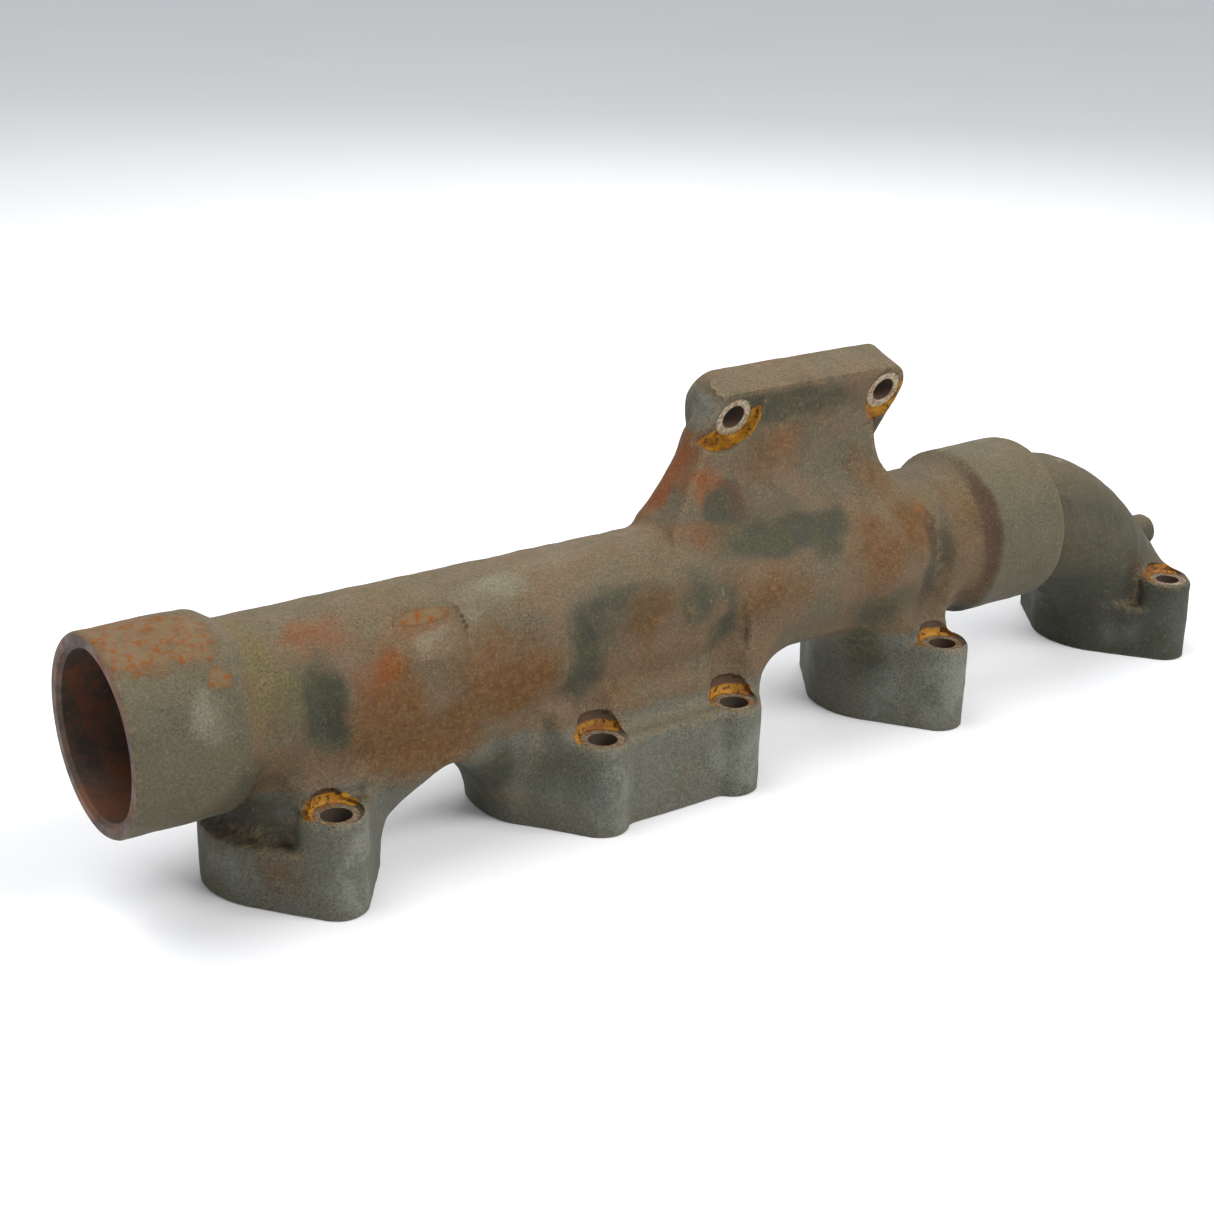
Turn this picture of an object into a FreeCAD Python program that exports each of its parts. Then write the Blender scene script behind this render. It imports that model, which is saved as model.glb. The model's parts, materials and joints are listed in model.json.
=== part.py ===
import FreeCAD, Part

import math
import os

from FreeCAD import Vector

# Exhaust manifold of an in-line engine, in millimetres: the cast centre section with four
# cylinder ports and the turbocharger flange, and one end elbow that slips into its socket.
# Frame: X along the engine, +Z up and away from the cylinder head, -Y the side away from
# the turbocharger. The origin is on the head's face, under the middle of the gallery tube.

# Driving dimensions: gallery tube and sockets
axis_height = 73.0
half_length = 228.0
tube_radius = 32.5
gallery_radius = 24.5
socket_radius = 38.0
socket_length = 41.0
socket_bore_radius = 31.8
socket_depth = 40.0
shoulder_length = 11.0
rim_chamfer = 1.4

# Driving dimensions: the ports that bolt to the cylinder head
outer_port_x = 153.0
inner_port_x = 33.5
elbow_port_x = 305.0
port_radius = 21.0
flange_radius = 33.5
flange_thickness = 25.0
boss_radius = 11.4
boss_y = 38.5
boss_height = 38.0
stud_hole_radius = 6.0
elbow_hole_radius = 5.5
runner_radius = 26.5
saddle_half_width = 44.5
web_half_width = 21.0
small_web = 10.0

# Driving dimensions: spot faces on the bosses, cleared upwards for the wrench
spot_face_radius = 10.4
groove_top = 96.0
groove_top_under_flange = 70.0

# Driving dimensions: turbocharger flange, tilted up from the +Y direction
turbo_x = 100.7
turbo_tilt = 20.0
turbo_back_y = 12.0
turbo_back_z = 113.9
turbo_thickness = 18.6
turbo_bolt_u = 42.2
turbo_bolt_v = 35.0
turbo_corner_radius = 12.0
turbo_hole_radius = 5.5
turbo_tapped_radius = 4.25
turbo_tapped_depth = 15.0
turbo_spot_radius = 12.5
turbo_pocket_radius = 19.9
turbo_pocket_u = -49.0
turbo_pocket_v = 42.8
turbo_waist = 8.0
turbo_opening_u = 29.0
turbo_opening_v = 23.0
turbo_opening_corner = 8.0
turbo_bolt_access = 45.0
cheek_end_x = 60.0
cheek_front_y = -2.5
cheek_back_y = 15.0
throat_shift_x = -8.0
throat_rise = 10.0

# Driving dimensions: end elbow and its seal rings
spigot_radius = 31.4
spigot_end_x = 194.0
spigot_taper_x = 231.5
spigot_taper = 5.0
bend_start_x = 230.0
bend_control_x = 268.0
bend_end_z = 22.0
bend_radius = 29.0
elbow_runner_radius = 30.0
elbow_bore_radius = 21.5
spigot_bore_radius = 23.0
lug_radius = 8.0
lug_length = 36.0
ring_width = 3.2
ring_outer_radius = 31.75
ring_inner_radius = 29.25
backing_outer_radius = 29.2
backing_thickness = 1.3
groove_floor_radius = 27.8
ring_side_clearance = 0.06
ring_groove_x = 201.0
ring_gap = 1.2

UP = Vector(0, 0, 1)
ALONG = Vector(1, 0, 0)
axis_start = Vector(0, 0, axis_height)


def rod(radius, start, end):
    """A round bar between two points."""
    span = end.sub(start)
    return Part.makeCylinder(radius, span.Length, start, span)


def upright(radius, x, y, low, high):
    return rod(radius, Vector(x, y, low), Vector(x, y, high))


def along_x(radius, low, high):
    return rod(radius, Vector(low, 0, axis_height), Vector(high, 0, axis_height))


def fuse(shapes):
    return shapes[0].multiFuse(shapes[1:]).removeSplitter()


def polygon_prism(points, direction):
    """A closed outline of straight sides, extruded."""
    return Part.Face(Part.makePolygon(points + points[:1])).extrude(direction)


def port_outline(x, z):
    """Face with the outline of one port flange: a round middle drawn out to two bosses."""
    tangent = math.asin((flange_radius - boss_radius) / boss_y)

    def on_circle(radius, y, angle):
        return Vector(x + radius * math.cos(angle), y + radius * math.sin(angle), z)

    corners = [
        (flange_radius, 0, -tangent, 0, tangent),
        (boss_radius, boss_y, tangent, math.pi / 2, math.pi - tangent),
        (flange_radius, 0, math.pi - tangent, math.pi, math.pi + tangent),
        (boss_radius, -boss_y, math.pi + tangent, 1.5 * math.pi, 2 * math.pi - tangent),
    ]
    arcs = [[on_circle(radius, y, angle) for angle in angles] for radius, y, *angles in corners]
    edges = []
    for index, arc in enumerate(arcs):
        following = arcs[(index + 1) % len(arcs)]
        edges.append(Part.Arc(*arc).toShape())
        edges.append(Part.LineSegment(arc[2], following[0]).toShape())
    return Part.Face(Part.Wire(edges))


def bosses(x):
    return [upright(boss_radius, x, side * boss_y, 0, boss_height) for side in (-1, 1)]


def plate(x):
    return port_outline(x, 0).extrude(UP * flange_thickness)


def envelope(x_low, x_high):
    """Prism along X that holds the ports: bosses at the sides, sloping up to the tube's sides."""
    outside = boss_y + boss_radius + 2
    half = [(outside, 0), (outside, boss_height),
            (boss_y, boss_height + 1), (tube_radius + 1.5, boss_height + 9),
            (tube_radius, axis_height - 10), (tube_radius - 0.5, axis_height)]
    profile = [Vector(x_low, -y, z) for y, z in half]
    profile += [Vector(x_low, y, z) for y, z in reversed(half)]
    return polygon_prism(profile, ALONG * (x_high - x_low))


def column(outline):
    """A port outline carried up to the tube, inside the envelope."""
    box = outline.BoundBox
    return outline.extrude(UP * axis_height).common(envelope(box.XMin - 1, box.XMax + 1))


def saddle_outline():
    """The two inner ports share one flange, slightly waisted between their bosses."""
    low = Vector(-inner_port_x, -saddle_half_width, 0)
    middle = Part.makePlane(2 * inner_port_x, 2 * saddle_half_width, low)
    ports = [port_outline(side * inner_port_x, 0) for side in (-1, 1)]
    return middle.multiFuse(ports).removeSplitter()


def outer_port(side):
    """An outer port: full height on its inner half, with the flange plate as a shelf outside."""
    x = side * outer_port_x
    reach = flange_radius + boss_radius
    inner_half = Part.makeBox(reach, 4 * boss_y, axis_height,
                              Vector(x + side * boss_radius - (reach if side > 0 else 0),
                                     -2 * boss_y, 0))
    return [plate(x), upright(runner_radius, x, 0, 0, axis_height),
            column(port_outline(x, 0)).common(inner_half)]


def flare(foot_x, foot_z, waist_x, waist_z, crown_x, crown_z):
    """Curved web under the tube: an arc from a runner's foot out to the tube's underside."""
    near = -web_half_width
    foot, crown = Vector(foot_x, near, foot_z), Vector(crown_x, near, crown_z)
    inside_x = foot_x - math.copysign(8.0, crown_x - foot_x)
    top_z = axis_height - 10
    corners = [crown, Vector(crown_x, near, top_z), Vector(inside_x, near, top_z),
               Vector(inside_x, near, foot_z), foot]
    edges = [Part.Arc(foot, Vector(waist_x, near, waist_z), crown).toShape()]
    edges += [Part.LineSegment(a, b).toShape() for a, b in zip(corners, corners[1:])]
    return Part.Face(Part.Wire(edges)).extrude(Vector(0, 2 * web_half_width, 0))


def small_flare(wall_x, side):
    """Fillet-sized web between an upright runner wall and the tube's underside."""
    under = axis_height - tube_radius
    waist = 0.3 * small_web
    return flare(wall_x, under - small_web, wall_x + side * waist, under - waist,
                 wall_x + side * small_web, under + 2)


def shoulder(side):
    """Solid of revolution that carries a socket's outside down to the tube in an S curve."""
    start = half_length - socket_length
    mid = start - shoulder_length / 2
    rise = socket_radius - tube_radius
    points = [(start + 1, socket_radius), (start, socket_radius),
              (mid + shoulder_length / 4, socket_radius - rise * 0.15),
              (mid, tube_radius + rise / 2),
              (mid - shoulder_length / 4, tube_radius + rise * 0.15),
              (start - shoulder_length, tube_radius)]
    outline = [Vector(side * x, 0, axis_height + radius) for x, radius in points]
    outline += [Vector(side * x, 0, axis_height) for x in (points[-1][0], points[0][0])]
    face = Part.Face(Part.makePolygon(outline + outline[:1]))
    return face.revolve(axis_start, ALONG, 360)


def gallery_tube():
    half = half_length - socket_length
    parts = [along_x(tube_radius, -half, half)]
    for side in (-1, 1):
        parts.append(along_x(socket_radius, side * half, side * half_length))
        parts.append(shoulder(side))
    tube = fuse(parts)
    rims = [edge for edge in tube.Edges
            if edge.BoundBox.XLength < 0.01 and abs(abs(edge.BoundBox.XMin) - half_length) < 0.01]
    return tube.makeChamfer(rim_chamfer, rims)


# The turbocharger flange's own axes: n out of its face, v up along the face
tilt = math.radians(turbo_tilt)
turbo_n = Vector(0, math.cos(tilt), math.sin(tilt))
turbo_v = Vector(0, -math.sin(tilt), math.cos(tilt))
turbo_back = Vector(turbo_x, turbo_back_y, turbo_back_z)
turbo_bolts = [turbo_back + ALONG * (i * turbo_bolt_u) + turbo_v * (j * turbo_bolt_v)
               for i in (-1, 1) for j in (-1, 1)]


def tilted_rectangle(centre, half_u, half_v, corner):
    """Wire of a rectangle with round corners that lies parallel to the turbocharger flange."""
    edges = []
    arcs = []
    for i, j in ((1, 1), (-1, 1), (-1, -1), (1, -1)):
        middle = centre + ALONG * (i * (half_u - corner)) + turbo_v * (j * (half_v - corner))
        ends = [middle + ALONG * (i * corner), middle + turbo_v * (j * corner)]
        if i * j < 0:
            ends.reverse()
        diagonal = (ALONG * i + turbo_v * j) * (corner / math.sqrt(2))
        arcs.append((ends[0], middle + diagonal, ends[1]))
    for index, arc in enumerate(arcs):
        edges.append(Part.Arc(*arc).toShape())
        edges.append(Part.LineSegment(arc[2], arcs[(index + 1) % 4][0]).toShape())
    return Part.Wire(edges)


def turbo_plate():
    """Four-bolt flange, waisted between the upper and the lower bolts."""
    half_u = turbo_bolt_u + turbo_corner_radius
    half_v = turbo_bolt_v + turbo_corner_radius
    outline = tilted_rectangle(turbo_back, half_u, half_v, turbo_corner_radius)
    flange = Part.Face(outline).extrude(turbo_n * turbo_thickness)
    rise = turbo_bolt_v - turbo_corner_radius / 2
    waists = []
    for side in (-1, 1):
        ends = [turbo_back + ALONG * (side * (half_u + 0.01)) + turbo_v * (j * rise)
                for j in (-1, 1)]
        deep = turbo_back + ALONG * (side * (half_u - turbo_waist))
        edges = [Part.Arc(ends[0], deep, ends[1]).toShape(),
                 Part.LineSegment(ends[1], ends[0]).toShape()]
        waists.append(Part.Face(Part.Wire(edges)).extrude(turbo_n * turbo_thickness))
    return flange.cut(waists)


def outline_solid(curves, direction):
    """Smooth curves through points, closed by straight lines in order, and extruded."""
    edges = []
    for index, points in enumerate(curves):
        if len(points) > 2:
            curve = Part.BSplineCurve()
            curve.interpolate(points)
            edges.append(curve.toShape())
        else:
            edges.append(Part.LineSegment(*points).toShape())
        following = curves[(index + 1) % len(curves)]
        if points[-1].distanceToPoint(following[0]) > 0:
            edges.append(Part.LineSegment(points[-1], following[0]).toShape())
    return Part.Face(Part.Wire(edges)).extrude(direction)


def neck():
    """Block up to the turbocharger flange, carried back past the flange on its left."""
    ahead = -80.0
    left = [(14, 78), (18, 104), (25, 113.5), (37.5, 130), (42, 141), (47, 158)]
    right = [(145, 158), (140, 145), (137.5, 130), (141, 110), (152, 78)]
    front = outline_solid([[Vector(x, ahead, z) for x, z in side] for side in (left, right)],
                          Vector(0, -2 * ahead, 0))
    start_x, width = -20.0, 200.0
    top = turbo_back + turbo_v * (turbo_bolt_v + turbo_corner_radius - 0.5)
    bottom = turbo_back - turbo_v * (turbo_bolt_v + 3)
    face = [(top.y, top.z), (-2.5, 138), (-10, 114), (-24, 92), (-31, 78)]
    under = [(-28, axis_height), (bottom.y, bottom.z)]
    side = outline_solid([[Vector(start_x, y, z) for y, z in part] for part in (face, under)],
                         ALONG * width)
    cheek = Part.makeBox(cheek_end_x - start_x, cheek_back_y - cheek_front_y, top.z - axis_height,
                         Vector(start_x, cheek_front_y, axis_height))
    return front.common(side).fuse(front.common(cheek))


def turbo_duct():
    """Opening of the turbocharger flange, drawn down into the gallery."""
    face = turbo_back + turbo_n * turbo_thickness
    mouth = tilted_rectangle(face + turbo_n, turbo_opening_u, turbo_opening_v,
                             turbo_opening_corner)
    throat_centre = Vector(turbo_x + throat_shift_x, 0, axis_height) + turbo_v * throat_rise
    throat = tilted_rectangle(throat_centre, turbo_opening_u + 4, turbo_opening_v - 1,
                              turbo_opening_corner)
    return Part.makeLoft([mouth, throat], True, True)


def centre_section():
    ports = (-outer_port_x, -inner_port_x, inner_port_x, outer_port_x)
    solid = [gallery_tube(), turbo_plate(), neck()]
    for x in ports:
        solid += bosses(x)
    solid += outer_port(-1) + outer_port(1) + [column(saddle_outline())]
    under = axis_height - tube_radius
    solid += [flare(-outer_port_x + 29, 4, -outer_port_x + 47, 28, -68, under + 3),
              flare(-inner_port_x - 30, 4, -inner_port_x - 43, 23, -100, under + 1),
              small_flare(-outer_port_x - runner_radius, -1),
              small_flare(outer_port_x - flange_radius + 2, -1)]
    casting = fuse(solid)

    cuts = [along_x(gallery_radius, -half_length + socket_depth, half_length - socket_depth),
            turbo_duct()]
    for side in (-1, 1):
        end = side * half_length
        cuts.append(along_x(socket_bore_radius, end - side * socket_depth, end + side))
        cuts.append(Part.makeCone(socket_bore_radius + rim_chamfer, socket_bore_radius,
                                  rim_chamfer, Vector(end, 0, axis_height), ALONG * -side))
    for x in ports:
        cuts.append(upright(port_radius, x, 0, -1, axis_height))
        for side in (-1, 1):
            y = side * boss_y
            under_flange = side > 0 and x == outer_port_x
            top = groove_top_under_flange if under_flange else groove_top
            cuts.append(upright(stud_hole_radius, x, y, -1, boss_height + 1))
            cuts.append(upright(spot_face_radius, x, y, boss_height, top))
    for bolt in turbo_bolts:
        face = bolt + turbo_n * turbo_thickness
        if bolt.z > turbo_back_z:
            cuts.append(rod(turbo_hole_radius, bolt - turbo_n, face + turbo_n))
            spot_radius = spot_face_radius if bolt.x < turbo_x else turbo_spot_radius
            cuts.append(rod(spot_radius, bolt, bolt - turbo_n * turbo_bolt_access))
        else:
            cuts.append(rod(turbo_tapped_radius, face - turbo_n * turbo_tapped_depth,
                            face + turbo_n))
    pocket = turbo_back + ALONG * turbo_pocket_u + turbo_v * turbo_pocket_v
    cuts.append(rod(turbo_pocket_radius, pocket, pocket - turbo_n * turbo_bolt_access))
    return casting.cut(cuts)


def bend_section(t, radius):
    """Circle across the elbow, where t runs from 0 at the socket to 1 over the port."""
    start = Vector(bend_start_x, 0, axis_height)
    control = Vector(bend_control_x, 0, axis_height)
    end = Vector(elbow_port_x, 0, bend_end_z)
    centre = start * (1 - t) ** 2 + control * (2 * t * (1 - t)) + end * t ** 2
    heading = (control - start) * (1 - t) + (end - control) * t
    return Part.Wire(Part.makeCircle(radius, centre, heading))


def bend(radius):
    return Part.makeLoft([bend_section(step / 4, radius) for step in range(5)], True)


def ring_groove_width():
    return 2 * ring_width + 3 * ring_side_clearance


def end_elbow():
    x = elbow_port_x
    ridge = Part.makeBox(2 * boss_radius, 4 * boss_y, boss_height + 3,
                         Vector(x - boss_radius, -2 * boss_y, 0))
    lug_start = Vector(x - 6, 4, 46)
    solid = [along_x(spigot_radius, spigot_end_x, spigot_taper_x),
             Part.makeCone(spigot_radius, bend_radius - 1, spigot_taper,
                           Vector(spigot_taper_x, 0, axis_height), ALONG),
             bend(bend_radius),
             upright(elbow_runner_radius, x, 0, 0, bend_end_z + 6),
             plate(x),
             column(port_outline(x, 0)).common(ridge),
             rod(lug_radius, lug_start, lug_start + ALONG * lug_length)]
    casting = fuse(solid + bosses(x))
    groove = along_x(spigot_radius + 2, ring_groove_x, ring_groove_x + ring_groove_width())
    groove = groove.cut(along_x(groove_floor_radius, ring_groove_x - 1,
                                ring_groove_x + ring_groove_width() + 1))
    cuts = [bend(elbow_bore_radius),
            along_x(spigot_bore_radius, spigot_end_x - 1, bend_start_x + 2),
            upright(port_radius, x, 0, -1, bend_end_z + 1),
            groove]
    for side in (-1, 1):
        y = side * boss_y
        cuts.append(upright(elbow_hole_radius, x, y, -1, boss_height + 1))
        cuts.append(upright(spot_face_radius, x, y, boss_height, axis_height))
    return casting.cut(cuts)


def split_ring(outer, inner, x_low, x_high, gap_side):
    """Flat ring with a narrow gap on its top or bottom, as gap_side is +1 or -1."""
    ring = along_x(outer, x_low, x_high).cut(along_x(inner, x_low - 1, x_high + 1))
    far = axis_height + gap_side * (outer + 1)
    low = min(axis_height, far)
    gap = Part.makeBox(x_high - x_low + 2, ring_gap, outer + 1,
                       Vector(x_low - 1, -ring_gap / 2, low))
    return ring.cut(gap)


def seal_ring(index):
    start = ring_groove_x + ring_side_clearance + index * (ring_width + ring_side_clearance)
    gap_side = 1 if index == 0 else -1
    return split_ring(ring_outer_radius, ring_inner_radius, start, start + ring_width, gap_side)


def backing_ring():
    start = ring_groove_x + ring_side_clearance
    end = ring_groove_x + ring_groove_width() - ring_side_clearance
    ring = split_ring(backing_outer_radius, backing_outer_radius - backing_thickness,
                      start, end, 1)
    ring.rotate(axis_start, ALONG, 90)
    return ring


os.makedirs("parts", exist_ok=True)
pieces = {
    "centre_section": centre_section(),
    "end_elbow": end_elbow(),
    "inboard_seal_ring": seal_ring(0),
    "outboard_seal_ring": seal_ring(1),
    "seal_backing_ring": backing_ring(),
}
for name, shape in pieces.items():
    shape.exportStep("parts/" + name + ".step")
    print(name, "solids", len(shape.Solids), "valid", shape.isValid(),
          "volume cm3", round(shape.Volume / 1000, 1))
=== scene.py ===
import json
import math

import bmesh
import bpy
import numpy as np
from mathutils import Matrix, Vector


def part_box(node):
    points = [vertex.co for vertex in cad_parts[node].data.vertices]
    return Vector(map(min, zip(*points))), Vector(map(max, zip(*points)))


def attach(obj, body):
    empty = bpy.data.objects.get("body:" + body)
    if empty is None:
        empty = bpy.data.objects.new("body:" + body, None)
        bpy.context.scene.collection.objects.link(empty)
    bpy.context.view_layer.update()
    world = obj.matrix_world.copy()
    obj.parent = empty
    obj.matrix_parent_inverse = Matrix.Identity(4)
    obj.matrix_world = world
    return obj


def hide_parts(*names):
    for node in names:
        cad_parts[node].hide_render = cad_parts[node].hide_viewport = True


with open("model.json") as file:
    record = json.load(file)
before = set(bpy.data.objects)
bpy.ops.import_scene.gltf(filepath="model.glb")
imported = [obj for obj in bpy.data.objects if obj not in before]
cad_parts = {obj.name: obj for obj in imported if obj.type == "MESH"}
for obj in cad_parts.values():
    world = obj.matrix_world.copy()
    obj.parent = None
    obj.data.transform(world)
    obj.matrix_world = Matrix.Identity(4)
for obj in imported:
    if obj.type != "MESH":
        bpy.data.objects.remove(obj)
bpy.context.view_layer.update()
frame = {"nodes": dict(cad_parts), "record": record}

import openvdb
from mathutils import Matrix, Vector

# A cast exhaust manifold. Each casting is a smooth field of distances, in millimetres, that is
# meshed, roughened a little and then machined with exact cutters. The places of ports, bolts,
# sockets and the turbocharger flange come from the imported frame.

MM = 0.001
mounts = {m["name"]: m for m in frame["record"]["mounts"]}


def place(name):
    return np.array(mounts[name]["pos_m"]) / MM


def dim(name, key):
    return mounts[name]["dims"][key]


def corner(node, end):
    return np.array(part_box(node)[end]) / MM


# -------- sizes from the frame
AXIS_Z = place("open_socket")[2]
HALF_LENGTH = -corner("centre_section", 0)[0]
OUTER_X = place("outer_port_b_bolts")[0]
INNER_X = dim("inner_port_bolts", "spacing_x_mm") / 2
ELBOW_X = place("elbow_port_bolts")[0]
BOSS_Y = dim("inner_port_bolts", "spacing_y_mm") / 2
HOLE_R = dim("inner_port_bolts", "hole_r_mm")
ELBOW_HOLE_R = dim("elbow_port_bolts", "hole_r_mm")
SOCKET_BORE_R = dim("open_socket", "r_mm")
TURBO_HOLE_R = dim("turbo_bolt_upper_left", "r_mm")
SOCKET_WALL = 6.25
SOCKET_R = corner("inboard_seal_ring", 1)[2] - AXIS_Z + SOCKET_WALL
SPIGOT_END_X = corner("end_elbow", 0)[0]
TURBO_N = np.array(mounts["turbo_face"]["axis"])
TURBO_V = np.array([0.0, -TURBO_N[2], TURBO_N[1]])
TURBO_THICK = dim("turbo_bolt_upper_left", "length_mm")
UPPER_LEFT, UPPER_RIGHT = place("turbo_bolt_upper_left"), place("turbo_bolt_upper_right")
TURBO_U = (UPPER_RIGHT - UPPER_LEFT)[0] / 2
TURBO_BOLT_V = (UPPER_LEFT - place("turbo_stud_lower_left")) @ TURBO_V / 2
TURBO_BACK = (UPPER_LEFT + UPPER_RIGHT) / 2 - TURBO_V * TURBO_BOLT_V - TURBO_N * TURBO_THICK / 2
PORTS = (-OUTER_X, -INNER_X, INNER_X, OUTER_X)

# -------- sizes of the castings, in millimetres
TUBE_R = 32.5
GALLERY_R = 24.5
SOCKET_STRAIGHT = 41.0
SOCKET_FROM = HALF_LENGTH - SOCKET_STRAIGHT
SOCKET_DEPTH = 40.0
SHOULDER = 12.0
PORT_R = 21.0
FLANGE_R = 33.5
BOSS_R = 11.4
BOSS_TOP = 38.0
PLATE_TOP = 25.0
RUNNER_R = 26.5
SADDLE_HALF = 44.5
PANEL_HALF = INNER_X + 11
PANEL_DEPTH = 3.0
PANEL_FOOT_Z = 56.0
PAD_X, PAD_R, PAD_DEPTH = -103.0, 15.0, 1.9
PAD_UP, PAD_FORWARD = 0.69, 0.72
SPOT_R = 10.4
GROOVE_R = 11.0
WASHER_R = 8.9
WASHER_DEPTH = 0.2
TURBO_CORNER = 12.0
TURBO_WAIST = 8.0
POCKET_U, POCKET_V, POCKET_R = -49.0, 42.8, 19.85
POCKET_REACH = 26.0
STUD_R, STUD_DEPTH = 4.25, 13.5
DUCT_CORNER, DUCT_DEEP = 8.0, 44.0 - TURBO_THICK
BEND_START = 230.0
BEND_CONTROL = 268.0
BEND_END_Z = 22.0
BEND_R, BEND_BORE_R = 29.5, 21.5
SPIGOT_R, SPIGOT_BORE_R = 31.4, 23.0
SPIGOT_SHOULDER = 231.0
LUG_Y, LUG_Z, LUG_R = 4.0, 45.5, 8.0
RING_GROOVE_R, RING_PLAY = 27.8, 0.06

# -------- quality and tone: meshing grid, room round it, how near the cast surface counts as
# cast, and what every cast colour is multiplied by under these lights
CELL = 1.65
MARGIN = 6
NEAR_SKIN = 0.9
SHADE = (0.64, 0.64 * 0.98, 0.64 * 0.95)


# -------- fields of distance
def smooth_min(a, b, blend):
    h = np.clip(0.5 + 0.5 * (b - a) / blend, 0, 1)
    return b + (a - b) * h - blend * h * (1 - h)


def smooth_max(a, b, blend):
    return -smooth_min(-a, -b, blend)


def ease(value, low, high):
    t = np.clip((value - low) / (high - low), 0, 1)
    return t * t * (3 - 2 * t)


def beyond(u, v, start, end):
    """Distance from the line start-end, positive on its right-hand side."""
    du, dv = end[0] - start[0], end[1] - start[1]
    return ((u - start[0]) * dv - (v - start[1]) * du) / math.hypot(du, dv)


def round_corner(past_u, past_v):
    """Distance from a corner that is rounded about the point where both values are 0."""
    outside = np.hypot(np.maximum(past_u, 0), np.maximum(past_v, 0))
    return outside + np.minimum(np.maximum(past_u, past_v), 0)


def curve_at(value, points):
    """Smooth curve through a few (value, result) points, held level outside them."""
    at, result = np.array(points, float).T
    slope = np.gradient(result, at)
    value = np.clip(value, at[0], at[-1])
    low = np.clip(np.searchsorted(at, value) - 1, 0, len(at) - 2)
    width = at[low + 1] - at[low]
    t = (value - at[low]) / width
    return (result[low] * (1 + 2 * t) * (1 - t) ** 2 + result[low + 1] * t * t * (3 - 2 * t)
            + width * (slope[low] * t * (1 - t) ** 2 + slope[low + 1] * t * t * (t - 1)))


def port_outline(x, y, middle_r=FLANGE_R):
    """Plan of a port flange: a round middle drawn out to a boss on each side."""
    lean = (middle_r - BOSS_R) / BOSS_Y
    across = math.sqrt(1 - lean * lean)
    x, y = np.abs(x), np.abs(y)
    along = across * y - lean * x
    side = across * x + lean * y - middle_r
    middle = np.hypot(x, y) - middle_r
    end = np.hypot(x, y - BOSS_Y) - BOSS_R
    return np.where(along < 0, middle, np.where(along > across * BOSS_Y, end, side))


def envelope(y, z, ledge_end=(TUBE_R + 1.5, BOSS_TOP + 9), start=(BOSS_Y, BOSS_TOP + 0.5),
             blend=3):
    """Sides of the ports: level with the bosses, then sloping up to the tube."""
    y = np.abs(y)
    ledge = z - BOSS_TOP - 0.4
    slope = beyond(y, z, start, ledge_end)
    slope = smooth_max(slope, beyond(y, z, ledge_end, (TUBE_R, AXIS_Z - 10)), 3)
    slope = smooth_max(slope, z - AXIS_Z, 3)
    return smooth_min(ledge, slope, blend)


def tube_field(x, y, z):
    """Gallery tube with its wider sockets, their rims a little broken."""
    along = (np.abs(x) - SOCKET_FROM + SHOULDER) / SHOULDER
    rise = np.where(x < 0, ease(along, 0, 1), np.clip(along, 0, 1) ** 1.6)
    radius = TUBE_R + (SOCKET_R - TUBE_R) * rise
    from_axis = np.hypot(y, z - AXIS_Z)
    body = from_axis - radius
    rim = (np.abs(x) - HALF_LENGTH + from_axis - SOCKET_R + 0.9) / math.sqrt(2)
    return smooth_max(body, rim, 0.6)


def bosses(u, y, z):
    """The two bolt bosses of a port, as cast."""
    return smooth_max(np.hypot(u, np.abs(y) - BOSS_Y) - BOSS_R - 2, z - BOSS_TOP - 0.3, 0.6)


def outer_port(x, y, z, side):
    """Full height on the inner half; outside it the flange plate is a shelf round the runner."""
    u = x - side * OUTER_X
    plan = port_outline(u, y, FLANGE_R + (0.8 if side < 0 else 0))
    runner = np.maximum(np.hypot(u, y) - RUNNER_R, z - AXIS_Z)
    sides = envelope(y, z, (30.5, 44) if side < 0 else (33, 48))
    inner_half = smooth_max(sides, side * u - BOSS_R + 1, 5)
    top = smooth_min(z - PLATE_TOP, bosses(u, y, z), 4)
    top = smooth_min(top, inner_half, 4)
    return smooth_min(smooth_max(plan, top, 2.5), runner, 7)


def saddle(x, y, z):
    """The two inner ports share one block, a little waisted between their bosses."""
    plan = smooth_max(np.abs(x) - INNER_X, np.abs(y) - SADDLE_HALF, 2)
    for port in (-INNER_X, INNER_X):
        plan = smooth_min(plan, port_outline(x - port, y), 2)
    return smooth_max(plan, envelope(y, z, start=(SADDLE_HALF, BOSS_TOP - 3), blend=7), 3)


def web(x, y, z, foot, waist, crown):
    """Curved web under the tube, hollowed by the circle through three points of its edge."""
    (ax, az), (bx, bz), (cx, cz) = foot, waist, crown
    system = [[2 * (bx - ax), 2 * (bz - az)], [2 * (cx - ax), 2 * (cz - az)]]
    squares = [bx ** 2 - ax ** 2 + bz ** 2 - az ** 2, cx ** 2 - ax ** 2 + cz ** 2 - az ** 2]
    centre_x, centre_z = np.linalg.solve(system, squares)
    radius = math.hypot(ax - centre_x, az - centre_z)
    side = math.copysign(1, crown[0] - foot[0])
    shape = radius - np.hypot(x - centre_x, z - centre_z)
    shape = np.maximum(shape, side * (x - crown[0]))
    shape = np.maximum(shape, side * (foot[0] - side * 12 - x))
    shape = np.maximum(shape, z - AXIS_Z)
    return smooth_max(shape, np.abs(y) - 20 - 7 * ease(z, 15, 40), 10)


def turbo_axes(x, y, z):
    """Places along the turbocharger flange: across it, up its face and out of its back."""
    dy, dz = y - TURBO_BACK[1], z - TURBO_BACK[2]
    return (x - TURBO_BACK[0], dy * TURBO_V[1] + dz * TURBO_V[2],
            dy * TURBO_N[1] + dz * TURBO_N[2])


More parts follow.
